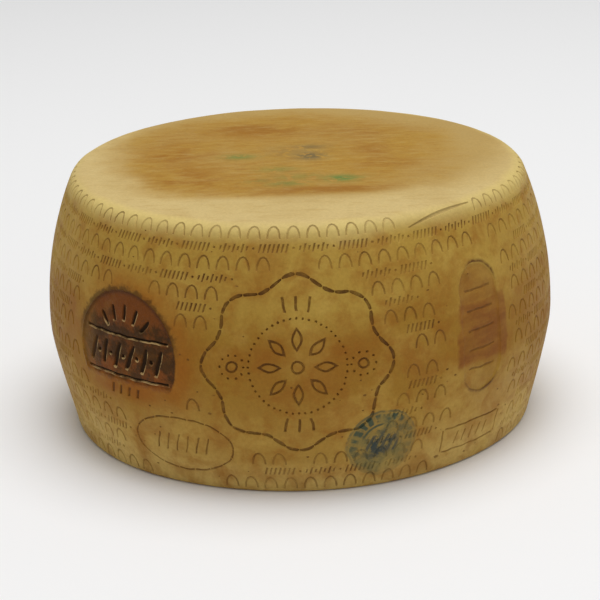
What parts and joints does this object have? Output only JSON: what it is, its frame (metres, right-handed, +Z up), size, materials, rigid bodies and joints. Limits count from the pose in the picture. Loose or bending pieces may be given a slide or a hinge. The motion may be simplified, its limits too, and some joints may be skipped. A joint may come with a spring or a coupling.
{
  "type": "hard cheese wheel",
  "caption": "Whole aged hard cheese: a squat drum with a bulging side, a rounded rim, a nearly flat top and ornaments pressed and burned into the rind.",
  "frame": {"origin": "centre of the flat base, on the surface the wheel lies on", "axes": "+Z up through the middle of the wheel, -Y towards the large round ornament on the front, +X to the viewer's right"},
  "size_m": [0.4289, 0.4305, 0.2182],
  "materials": {
    "rind": "satin"
  },
  "bodies": {
    "root": {"cheese_wheel": "rind"}
  },
  "joints": []
}
